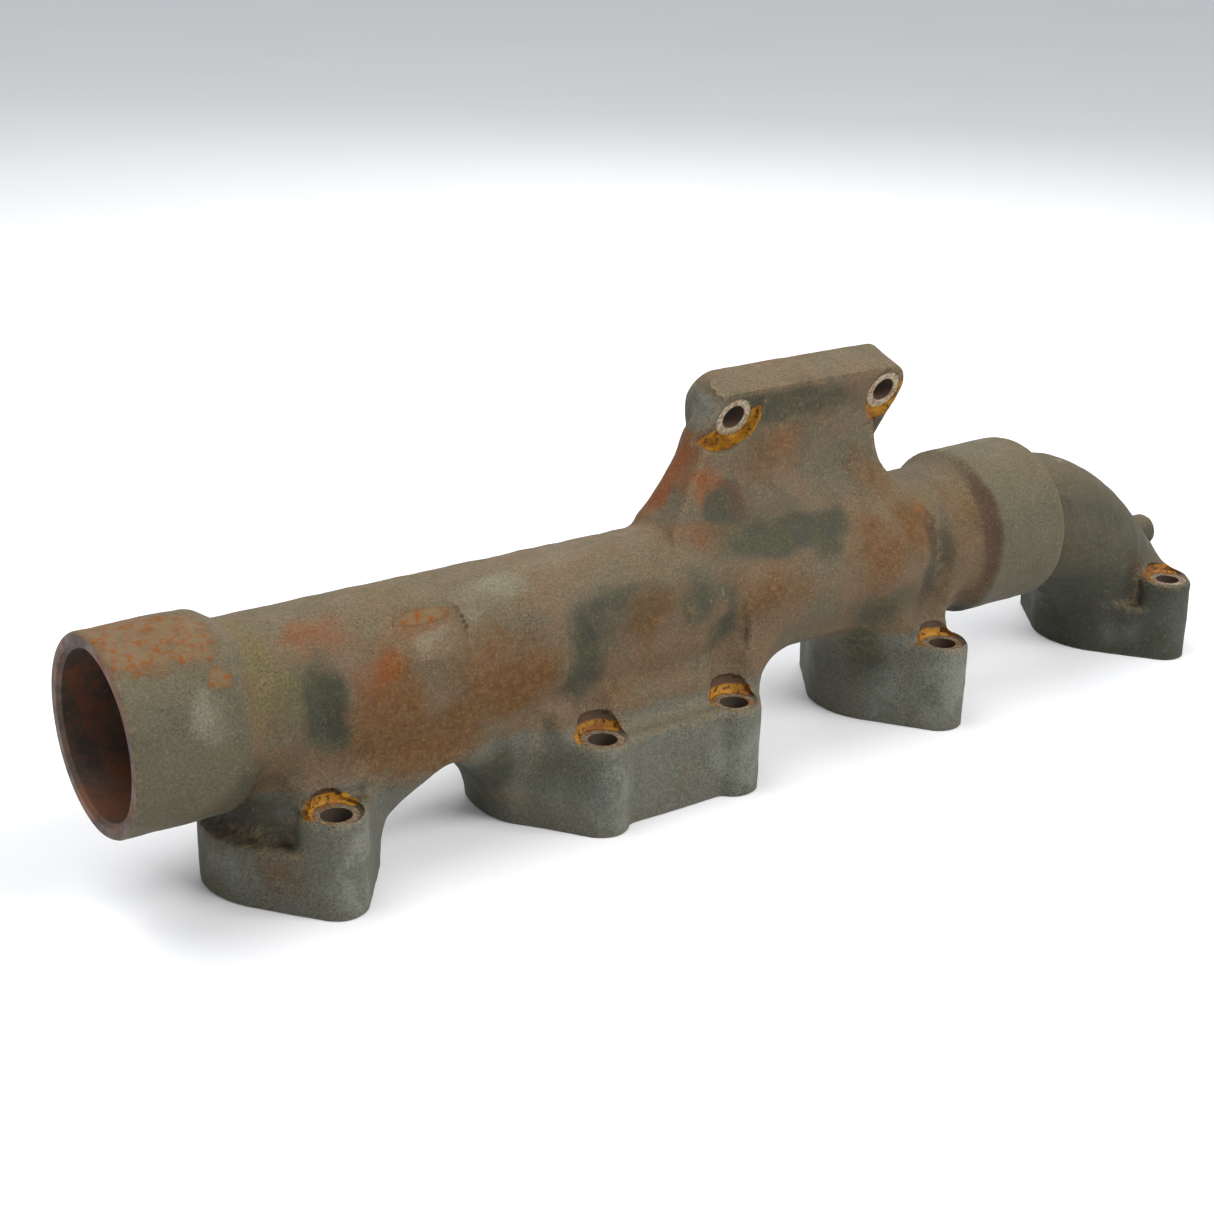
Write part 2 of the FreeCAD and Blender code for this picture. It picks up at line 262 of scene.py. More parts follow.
def turbo_plate(x, y, z):
    """Turbocharger flange: a square with round corners, waisted at both sides."""
    u, v, n = turbo_axes(x, y, z)
    u = np.abs(u)
    plan = round_corner(u - TURBO_U, np.abs(v) - TURBO_BOLT_V) - TURBO_CORNER
    hollow = ((TURBO_BOLT_V - 5) ** 2 + TURBO_WAIST ** 2) / (2 * TURBO_WAIST)
    middle = TURBO_U + TURBO_CORNER - TURBO_WAIST + hollow
    plan = smooth_max(plan, hollow - np.hypot(u - middle, v), 4)
    shape = smooth_max(plan, -n, 1.6)
    return np.maximum(shape, n - TURBO_THICK - 3)


def neck(x, y, z):
    """Block between tube and turbocharger flange, sharp down its left front edge."""
    _, v, n = turbo_axes(x, y, z)
    left = curve_at(z, [(78, 15), (100, 16.5), (106, 18), (113.5, 25), (121.8, 31.5),
                        (130, 37.5), (139, 41), (148, 45), (158, 49)])
    right = curve_at(z, [(78, 152), (110, 141), (120, 138), (130, 137.5), (137, 138),
                         (145, 140), (158, 145)])
    front = curve_at(z, [(56, -16), (68, -27), (78, -31), (92, -24), (114, -10),
                         (138, -2.5), (157, -3.7)])
    ahead = (front - y) * 0.86
    shape = smooth_max(ahead, (left - x) * 0.84, 1.5)
    shape = smooth_max(shape, (x - right) * 0.95, 5)
    back = y - 15 - 30 * ease(x, 45, 70)
    shape = smooth_max(shape, np.maximum(back * 0.9, n - 12), 4)
    top = v - TURBO_BOLT_V - TURBO_CORNER + 0.6
    return np.maximum(shape, np.maximum(top, -TURBO_BOLT_V - 4 - v))


def bolt_pocket(x, y, z):
    """Round-ended clearance for the upper left bolt, open at the flange's corner."""
    u, v, n = turbo_axes(x, y, z)
    return np.maximum(np.hypot(u - POCKET_U, v - POCKET_V) - POCKET_R, n)


def upright_groove(x, y, z, port, side, low, top):
    """Rounded clearance for a wrench, cast into the wall above a boss."""
    from_axis = np.hypot(x - port, y - side * BOSS_Y) - GROOVE_R - (1.5 if port == OUTER_X else 0)
    return smooth_max(from_axis, np.abs(z - (top + low) / 2) - (top - low) / 2, 12)


def centre_skin(x, y, z):
    """Outside of the centre section as cast."""
    shape = tube_field(x, y, z)
    under = AXIS_Z - TUBE_R
    ports = outer_port(x, y, z, -1)
    long_web = web(x, y, z, (-OUTER_X + 26, 4), (-OUTER_X + 45, 28), (-68, under + 3))
    ports = smooth_min(ports, long_web, 5)
    shape = smooth_min(shape, ports, 6)
    middle = saddle(x, y, z)
    short_web = web(x, y, z, (-INNER_X - 30, 4), (-INNER_X - 43, 23), (-100, under + 1))
    middle = smooth_min(middle, short_web, 5)
    shape = smooth_min(shape, middle, 5 + 15 * ease(x, INNER_X, INNER_X + 14))
    shape = smooth_min(shape, outer_port(x, y, z, 1), 9 + 12 * ease(x, OUTER_X - 8, OUTER_X - 26))
    panel = np.maximum(np.abs(x) - PANEL_HALF, y + TUBE_R - PANEL_DEPTH)
    panel = smooth_max(panel, PANEL_FOOT_Z - z, 6)
    shape = smooth_max(shape, -panel, 3)
    for port in PORTS:
        for side in (-1, 1):
            under_flange = side > 0 and port == OUTER_X
            low = 47 if port == -OUTER_X else 41
            groove = upright_groove(x, y, z, port, side, low, 70 if under_flange else 98)
            shape = smooth_max(shape, -groove, 3.5)
    ends = ease(np.abs(x - TURBO_BACK[0]), 36, 50) * ease(z, 146, 136)
    block = smooth_min(neck(x, y, z), turbo_plate(x, y, z), 1.5 + 8 * ends)
    blend = 3 + 13 * ease(x, 30, 75) - 4 * ease(x, 122, 146)
    shape = smooth_min(shape, smooth_max(block, -bolt_pocket(x, y, z), 0.8), blend)
    pad = np.hypot(x - PAD_X, y * PAD_UP + (z - AXIS_Z) * PAD_FORWARD) - PAD_R
    facet = TUBE_R - PAD_DEPTH - (z - AXIS_Z) * PAD_UP + y * PAD_FORWARD
    facet = np.maximum(facet, pad)
    shape = smooth_max(shape, -facet, 0.8)
    return np.maximum(shape, np.maximum(np.abs(x) - HALF_LENGTH - 3, -3 - z))


def centre_core(x, y, z):
    """Gas passages: the gallery, a bore to each port and the way up to the turbocharger."""
    gallery = np.maximum(np.hypot(y, z - AXIS_Z) - GALLERY_R,
                         np.abs(x) - HALF_LENGTH + SOCKET_DEPTH - 1)
    shape = gallery
    for port in PORTS:
        bore = np.maximum(np.hypot(x - port, y) - PORT_R, z - AXIS_Z)
        shape = smooth_min(shape, bore, 7)
    u, v, n = turbo_axes(x, y, z)
    sunk = np.clip((TURBO_THICK - n) / (TURBO_THICK + DUCT_DEEP), 0, 1)
    half_u, half_v = 29 + 4 * sunk, 23 - sunk
    duct = round_corner(np.abs(u + 8 * sunk) - half_u + DUCT_CORNER,
                        np.abs(v + 25 * sunk) - half_v + DUCT_CORNER) - DUCT_CORNER
    duct = np.maximum(duct, -DUCT_DEEP - 0.6 - n)
    return smooth_min(shape, duct, 8)


def bend_line(x, y, z):
    """Distance from the elbow's centre line, which is one smooth curve."""
    start, control = np.array([BEND_START, AXIS_Z]), np.array([BEND_CONTROL, AXIS_Z])
    end = np.array([ELBOW_X, BEND_END_Z])
    nearest = np.full(np.broadcast(x, y, z).shape, 1e9)
    steps = 24
    t = np.linspace(0, 1, steps + 1)[:, None]
    line = start * (1 - t) ** 2 + control * 2 * t * (1 - t) + end * t ** 2
    for a, b in zip(line, line[1:]):
        span = b - a
        share = ((x - a[0]) * span[0] + (z - a[1]) * span[1]) / (span @ span)
        share = np.clip(share, 0, 1)
        off = (x - a[0] - share * span[0]) ** 2 + (z - a[1] - share * span[1]) ** 2 + y ** 2
        nearest = np.minimum(nearest, off)
    return np.sqrt(nearest)


def past_bend(x, z):
    """Distance past the plane across the end of the elbow's centre line."""
    along_x, along_z = ELBOW_X - BEND_CONTROL, BEND_END_Z - AXIS_Z
    return ((x - ELBOW_X) * along_x + (z - BEND_END_Z) * along_z) / math.hypot(along_x, along_z)


def elbow_skin(x, y, z):
    """Outside of the end elbow as cast."""
    u = x - ELBOW_X
    pipe = np.maximum(bend_line(x, y, z) - BEND_R, past_bend(x, z))
    knuckle = np.maximum(np.sqrt(u * u + y * y + (z - BEND_END_Z) ** 2) - BEND_R, -u)
    pipe = smooth_min(pipe, knuckle, 2)
    spigot = np.maximum(np.hypot(y, z - AXIS_Z) - SPIGOT_R, x - 232.5)
    plan = port_outline(u, y, FLANGE_R + 0.8)
    ridge = smooth_max(np.abs(u) - BOSS_R + 1, np.abs(y) - BOSS_Y, 4)
    ridge = smooth_max(ridge, beyond(np.abs(y), z, (BOSS_Y, BOSS_TOP + 1), (24, 44)), 4)
    top = smooth_min(smooth_min(z - PLATE_TOP, bosses(u, y, z), 4), ridge, 4)
    runner = np.maximum(np.hypot(u, y) - 29, z - 27)
    lug = np.hypot(y - LUG_Y, z - LUG_Z) - LUG_R
    lug = smooth_max(lug, x - ELBOW_X - 31, 2.5)
    lug = np.maximum(lug, ELBOW_X - 10 - x)
    shape = smooth_min(pipe, runner, 6)
    shape = smooth_min(shape, smooth_max(plan, top, 2.5), 5)
    shape = smooth_min(shape, lug, 3)
    shape = smooth_min(shape, spigot, 1.5)
    return np.maximum(shape, np.maximum(-3 - z, SPIGOT_END_X - 3 - x))


def elbow_core(x, y, z):
    """Gas passage of the end elbow, from the spigot's mouth down to its port."""
    pipe = np.maximum(bend_line(x, y, z) - BEND_BORE_R, past_bend(x, z) - 1)
    inlet = np.maximum(np.hypot(y, z - AXIS_Z) - SPIGOT_BORE_R, x - BEND_START - 2)
    port = np.maximum(np.hypot(x - ELBOW_X, y) - PORT_R, z - BEND_END_Z)
    return smooth_min(smooth_min(pipe, inlet, 3), port, 4)


# -------- meshes from fields
def lattice_noise(points, cell, seed):
    """Smooth noise from -1 to 1, with bumps about a cell across."""
    size = 32
    values = np.random.default_rng(seed).uniform(-1, 1, (size, size, size))
    at = points / cell
    low = np.floor(at).astype(int)
    part = at - low
    part = part * part * (3 - 2 * part)
    total = np.zeros(len(points))
    for i in (0, 1):
        for j in (0, 1):
            for k in (0, 1):
                weight = ((part[:, 0] if i else 1 - part[:, 0])
                          * (part[:, 1] if j else 1 - part[:, 1])
                          * (part[:, 2] if k else 1 - part[:, 2]))
                index = (low + (i, j, k)) % size
                total += weight * values[index[:, 0], index[:, 1], index[:, 2]]
    return total


def field_slope(field, points, step=0.4):
    """Direction in which a field grows fastest, at each point."""
    slope = np.empty_like(points)
    for axis in range(3):
        ahead, behind = points.copy(), points.copy()
        ahead[:, axis] += step
        behind[:, axis] -= step
        slope[:, axis] = field(*ahead.T) - field(*behind.T)
    slope /= 2 * step
    return slope


def mesh_field(field, low, high, cell, name):
    """Closed mesh of the surface where a field is zero, in millimetres."""
    axes = [np.arange(a, b + cell, cell) for a, b in zip(low, high)]
    x, y, z = np.meshgrid(*axes, indexing="ij", sparse=True)
    values = np.broadcast_to(field(x, y, z), [len(a) for a in axes]).astype(np.float32)
    grid = openvdb.FloatGrid(background=float(cell * 3))
    grid.copyFromArray(np.ascontiguousarray(values))
    points, quads = grid.convertToQuads(isovalue=0.0)
    points = points.astype(float) * cell + np.array(low)
    for _ in range(3):
        slope = field_slope(field, points)
        steep = np.maximum((slope ** 2).sum(1), 0.05)
        step = np.clip(field(*points.T) / steep, -cell * 0.5, cell * 0.5)
        points -= slope * step[:, None]
    mesh = bpy.data.meshes.new(name)
    mesh.from_pydata(points.tolist(), [], quads[:, ::-1].tolist())
    made = bmesh.new()
    made.from_mesh(mesh)
    bmesh.ops.recalc_face_normals(made, faces=made.faces)
    made.to_mesh(mesh)
    made.free()
    return mesh


def new_object(name, mesh):
    made = bpy.data.objects.new(name, mesh)
    bpy.context.scene.collection.objects.link(made)
    return made


def vertex_points(mesh):
    flat = np.empty(len(mesh.vertices) * 3)
    mesh.vertices.foreach_get("co", flat)
    return flat.reshape(-1, 3)


def vertex_normals(mesh):
    flat = np.empty(len(mesh.vertices) * 3, np.float32)
    mesh.vertex_normals.foreach_get("vector", flat)
    return flat.reshape(-1, 3).astype(float)


def roughen(mesh, keep_smooth, rough_spots):
    """Gives a casting the shallow waves and dimples that a sand mould leaves."""
    points, normals = vertex_points(mesh), vertex_normals(mesh)
    depth = 0.30 * lattice_noise(points, 17.0, 1) + 0.16 * lattice_noise(points, 6.5, 2)
    depth += 0.10 * lattice_noise(points, 3.2, 3)
    depth *= 1 - keep_smooth(points)
    for centre, radii, height in rough_spots:
        near = np.exp(-(((points - centre) / radii) ** 2).sum(1) ** 2)
        depth += near * height * (lattice_noise(points, 2.6, 4) + 0.6 * lattice_noise(points, 6, 5))
    points += normals * depth[:, None]
    mesh.vertices.foreach_set("co", points.ravel())
    mesh.update()


# -------- machining
def closed_up(made, name):
    """Mesh made from a bmesh, which is let go."""
    mesh = bpy.data.meshes.new(name)
    made.to_mesh(mesh)
    made.free()
    return mesh


def lathe(profile, start, direction, segments=96):
    """Solid turned about an axis: profile holds (distance along the axis, radius) pairs."""
    made = bmesh.new()
    rings = []
    for along, radius in profile:
        ring = [made.verts.new((radius * math.cos(2 * math.pi * k / segments),
                                radius * math.sin(2 * math.pi * k / segments), along))
                for k in range(segments)]
        rings.append(ring)
    for low, high in zip(rings, rings[1:]):
        for k in range(segments):
            following = (k + 1) % segments
            made.faces.new((low[k], low[following], high[following], high[k]))
    made.faces.new(list(reversed(rings[0])))
    made.faces.new(rings[-1])
    turn = Vector(direction).to_track_quat("Z", "Y").to_matrix().to_4x4()
    made.transform(Matrix.Translation(Vector(start)) @ turn)
    bmesh.ops.recalc_face_normals(made, faces=made.faces)
    return closed_up(made, "cutter")


def slab(centre, direction, across, thick):
    """Square slab that lies on one side of a plane."""
    made = bmesh.new()
    bmesh.ops.create_cube(made, size=1)
    turn = Vector(direction).to_track_quat("Z", "Y").to_matrix().to_4x4()
    middle = Vector(centre) + Vector(direction).normalized() * thick / 2
    made.transform(Matrix.Translation(middle) @ turn @ Matrix.Diagonal((across, across, thick, 1)))
    return closed_up(made, "cutter")


def cut(target, meshes):
    """Takes each cutter out of the target, one after another."""
    for mesh in meshes:
        cutter = new_object("cutter", mesh)
        modifier = target.modifiers.new("cut", "BOOLEAN")
        modifier.operation = "DIFFERENCE"
        modifier.solver = "MANIFOLD"
        modifier.object = cutter
        bpy.context.view_layer.update()
        graph = bpy.context.evaluated_depsgraph_get()
        result = bpy.data.meshes.new_from_object(target.evaluated_get(graph))
        target.modifiers.clear()
        old = target.data
        target.data = result
        bpy.data.meshes.remove(old)
        bpy.data.objects.remove(cutter)
        bpy.data.meshes.remove(mesh)


def drilled(radius, start, end, lip=0.3):
    """Cutter for a hole with a small chamfer at each mouth, run past both faces."""
    start, end = Vector(start), Vector(end)
    length = (end - start).length
    over = 2.0
    profile = [(-over, radius + lip + over), (lip, radius), (length - lip, radius),
               (length + over, radius + lip + over)]
    return lathe(profile, start, end - start, 64)


def spot_face(centre, direction, radius, depth, mouth):
    """Cutter for a flat seat with straight walls, then drawn in or out to the mouth's radius."""
    profile = [(0, radius - 0.8), (0.25, radius - 0.25), (0.8, radius), (depth, radius)]
    for step in range(1, 7):
        turn = math.pi / 2 * step / 6
        profile.append((depth + 6 * math.sin(turn), mouth + (radius - mouth) * math.cos(turn)))
    return lathe(profile, centre, direction)


def washer_mark(centre, direction):
    """Cutter for the slight sink that a bolt's washer leaves in its seat."""
    return lathe([(-WASHER_DEPTH, WASHER_R), (2, WASHER_R)], centre, direction)


def port_cutters(port, hole_radius, spot_depth):
    """Seats, washer marks and bolt holes of a port's two bosses."""
    made = []
    for side in (-1, 1):
        y = side * BOSS_Y
        made.append(spot_face((port, y, BOSS_TOP), (0, 0, 1), SPOT_R, spot_depth, 3))
        made.append(washer_mark((port, y, BOSS_TOP), (0, 0, 1)))
        made.append(drilled(hole_radius, (port, y, 0), (port, y, BOSS_TOP)))
    return made


def centre_casting():
    """The long casting, cast rough and then machined."""
    low = (-HALF_LENGTH - MARGIN, -BOSS_Y - BOSS_R - MARGIN, -MARGIN)
    high = (HALF_LENGTH + MARGIN, BOSS_Y + BOSS_R + MARGIN,
            corner("centre_section", 1)[2] + MARGIN)
    mesh = mesh_field(centre_skin, low, high, CELL, "centre_section_casting")

    def machined(points):
        rim = ease(np.abs(points[:, 0]), HALF_LENGTH - 3, HALF_LENGTH)
        return rim * 0.7

    rough_spots = [((-208, -14, AXIS_Z + 36), (24, 24, 14), 0.30),
                   ((-103, -21, AXIS_Z + 23), (13, 6, 6), 0.22)]
    roughen(mesh, machined, rough_spots)
    casting = new_object("centre_section_casting", mesh)
    cutters = [slab((0, 0, 0), (0, 0, -1), 600, 20),
               slab((HALF_LENGTH, 0, AXIS_Z), (1, 0, 0), 120, 20),
               slab((-HALF_LENGTH, 0, AXIS_Z), (-1, 0, 0), 120, 20),
               slab(TURBO_BACK + TURBO_N * TURBO_THICK, TURBO_N, 160, 12)]
    core = mesh_field(centre_core, (-HALF_LENGTH, -50, -10),
                      (HALF_LENGTH, 55, 160), CELL * 1.5, "cutter")
    cutters.append(core)
    for side in (-1, 1):
        rim = (side * HALF_LENGTH, 0, AXIS_Z)
        profile = [(-2, SOCKET_BORE_R + 3.6), (1.6, SOCKET_BORE_R),
                   (SOCKET_DEPTH - 1, SOCKET_BORE_R), (SOCKET_DEPTH, SOCKET_BORE_R - 1)]
        cutters.append(lathe(profile, rim, (-side, 0, 0), 160))
    for port in PORTS:
        cutters += port_cutters(port, HOLE_R, 3 if port == -OUTER_X else 6)
    for x in (-TURBO_U, TURBO_U):
        upper = Vector(TURBO_BACK + TURBO_V * TURBO_BOLT_V) + Vector((x, 0, 0))
        lower = Vector(TURBO_BACK - TURBO_V * TURBO_BOLT_V) + Vector((x, 0, 0))
        n = Vector(TURBO_N)
        if x > 0:
            cutters.append(spot_face(upper, -n, 12.0, 1.5, 18))
        cutters.append(washer_mark(upper, -n))
        cutters.append(drilled(TURBO_HOLE_R, upper, upper + n * TURBO_THICK))
        tapped = [(-2, 7.5), (0.9, STUD_R), (STUD_DEPTH, STUD_R), (STUD_DEPTH + 1.5, 1.0)]
        cutters.append(lathe(tapped, lower + n * TURBO_THICK, -n, 48))
    cut(casting, cutters)
    return casting


def elbow_casting():
    """The end elbow, cast rough and then machined."""
    low = (SPIGOT_END_X - MARGIN, -BOSS_Y - BOSS_R - MARGIN, -MARGIN)
    high = tuple(corner("end_elbow", 1) + MARGIN)
    mesh = mesh_field(elbow_skin, low, high, CELL, "end_elbow_casting")

    def machined(points):
        return 1 - ease(points[:, 0], SPIGOT_SHOULDER, SPIGOT_SHOULDER + 5)

    roughen(mesh, machined, [])
    casting = new_object("end_elbow_casting", mesh)
    cutters = [slab((ELBOW_X, 0, 0), (0, 0, -1), 200, 20),
               slab((SPIGOT_END_X, 0, AXIS_Z), (-1, 0, 0), 120, 20)]
    cutters.append(mesh_field(elbow_core, (SPIGOT_END_X - 8, -30, -10),
                              (ELBOW_X + 40, 30, AXIS_Z + 30), CELL * 1.5, "cutter"))
    cutters += port_cutters(ELBOW_X, ELBOW_HOLE_R, 4)
    cut(casting, cutters)
    ring_groove(casting, corner("inboard_seal_ring", 0)[0] - RING_PLAY,
                corner("outboard_seal_ring", 1)[0] + RING_PLAY)
    return casting


def ring_groove(casting, low, high):
    """Turned groove that holds the seal rings on the spigot."""
    outer = lathe([(low, SPIGOT_R + 3), (high, SPIGOT_R + 3)], (0, 0, AXIS_Z), (1, 0, 0), 160)
    band = new_object("band", outer)
    inner = lathe([(low - 1, RING_GROOVE_R), (high + 1, RING_GROOVE_R)], (0, 0, AXIS_Z),
                  (1, 0, 0), 160)
    cut(band, [inner])
    mesh = band.data.copy()
    bpy.data.objects.remove(band)
    cut(casting, [mesh])


# -------- masks on the castings
def blob(points, centre, radii):
    """Patch round a point, 1 in its middle, with a fairly quick edge."""
    return np.exp(-(((points - centre) / np.array(radii, float)) ** 2).sum(1) ** 1.25)


def set_mask(mesh, name, values):
    """Stores one number a vertex for the materials to read."""
    layer = mesh.attributes.new(name, "FLOAT", "POINT")
    layer.data.foreach_set("value", np.clip(values, 0, 1).astype(np.float32))


def openness(field, points, normals, reach):
    """1 on open and bulging surfaces, towards 0 in corners and grooves."""
    return np.clip(field(*(points + normals * reach).T) / reach, 0, 1)


def sort_faces(mesh, skin, core, turned_to):
    """Slot 0 for the cast skin, 1 for machined faces, 2 for gas passages, 3 for washer marks.

    Everything on the low side of X = turned_to was turned on a lathe.
    """
    count = len(mesh.polygons)
    flat = np.empty(count * 3)
    mesh.polygons.foreach_get("center", flat)
    centres = flat.reshape(-1, 3)
    from_skin = np.abs(skin(*centres.T))
    from_core = np.abs(core(*centres.T))
    slots = np.where(from_skin < NEAR_SKIN, 0, np.where(from_core < 0.8, 2, 1))
    slots = np.where(centres[:, 0] < turned_to, 1, slots)
    for middle, out, *_ in seat_list():
        height = (centres - middle) @ out
        off = np.linalg.norm(centres - middle - height[:, None] * out, axis=1)
        slots = np.where((np.abs(height + WASHER_DEPTH) < 0.09) & (off < WASHER_R + 0.1), 3, slots)
        slots = np.where((off < 7) & (height < -WASHER_DEPTH - 0.1) & (height > -60)
                         & (from_skin > NEAR_SKIN), 1, slots)
    mesh.polygons.foreach_set("material_index", slots.astype(np.int32))


def seat_list():
    """Bolt seats: middle, way out, way to the rusty crescent, its hole, height and reach."""
    seats = []
    for port in PORTS + (ELBOW_X,):
        hole = ELBOW_HOLE_R if port == ELBOW_X else HOLE_R
        for side in (-1, 1):
            middle = np.array((port, side * BOSS_Y, BOSS_TOP))
            seats.append((middle, np.array((0, 0, 1.0)), np.array((-0.15, -side * 0.99, 0)),
                          hole, 4 if abs(port) < OUTER_X else 3, SPOT_R + 2.2))
    for x, reach in ((-TURBO_U, POCKET_REACH), (TURBO_U, 15)):
        middle = TURBO_BACK + TURBO_V * TURBO_BOLT_V + (x, 0, 0)
        way = -TURBO_V * 0.9 + (0.4, 0, 0)
        seats.append((middle, -TURBO_N, way, TURBO_HOLE_R, 4, reach))
    return seats


def seat_masks(points):
    """Rusty crescents and dark holes round the bolts."""
    marks = {name: np.zeros(len(points)) for name in ("crescent", "hole")}
    for middle, out, way, hole, tall, reach in seat_list():
        rel = points - middle
        height = rel @ out
        flat = rel - height[:, None] * out
        off = np.sqrt((flat ** 2).sum(1))
        toward = (flat @ way) / np.maximum(off, 0.1)
        crescent = (ease(off, 8.3, 9.2) * ease(off, reach, reach - 1) * ease(toward, -0.2, 0.4)
                    * ease(height, -0.6, -0.1) * ease(height, tall + 3, tall - 1))
        if reach == POCKET_REACH:
            u, v, _ = turbo_axes(*points.T)
            from_pocket = np.hypot(u - POCKET_U, v - POCKET_V)
            crescent *= ease(from_pocket, POCKET_R + 1.2, POCKET_R + 0.4)
        marks["crescent"] = np.maximum(marks["crescent"], crescent)
        inside = ease(off, hole + 0.9, hole + 0.5) * ease(height, 0.0, -0.5)
        marks["hole"] = np.maximum(marks["hole"], inside * ease(height, -60, -30))
    return marks


def finish_casting(casting, skin, core, materials, turned_to):
    """Sorts faces into materials, sets the masks and turns millimetres into metres."""
    mesh = casting.data
    mesh.materials.clear()
    for material in materials:
        mesh.materials.append(material)
    sort_faces(mesh, skin, core, turned_to)
    points, normals = vertex_points(mesh), vertex_normals(mesh)
    # how open the surface is, near and far; the cast materials paint shade where it is low
    set_mask(mesh, "open_near", openness(skin, points, normals, 4.0))
    set_mask(mesh, "open_far", openness(skin, points, normals, 14.0))
    inward = -skin(*(points - normals * 3.0).T) / 3.0
    along = np.abs(points[:, 0])
    from_axis = np.hypot(points[:, 1], points[:, 2] - AXIS_Z)
    in_socket = ease(along, HALF_LENGTH + 2, HALF_LENGTH + 1)
    rim = (ease(along, HALF_LENGTH - 2.4, HALF_LENGTH - 0.8) * in_socket
           * ease(from_axis, SOCKET_R - 3, SOCKET_R - 1))
    set_mask(mesh, "edge", np.maximum(np.clip(1.15 - inward, 0, 1) * 1.6, rim))
    set_mask(mesh, "skirt", ease(points[:, 2], 50, 38))
    set_mask(mesh, "socket", ease(along, SOCKET_FROM - 4, SOCKET_FROM + 1) * in_socket)
    drift = [5 * lattice_noise(points, 15, seed) + 2.5 * lattice_noise(points, 6, seed + 9)
             for seed in (11, 12, 13)]
    drifted = points + np.stack(drift, 1)
    for name, patches in PATCHES.items():
        total = np.zeros(len(points))
        for centre, radii, strength in patches:
            at = points if name in CRISP_PATCHES else drifted
            total = np.maximum(total, strength * blob(at, centre, radii))
        set_mask(mesh, name, total)
    for name, values in seat_masks(points).items():
        set_mask(mesh, name, values)
    mesh.vertices.foreach_set("co", (points * MM).ravel())
    mesh.shade_smooth()
    mesh.set_sharp_from_angle(angle=math.radians(32))
    mesh.update()
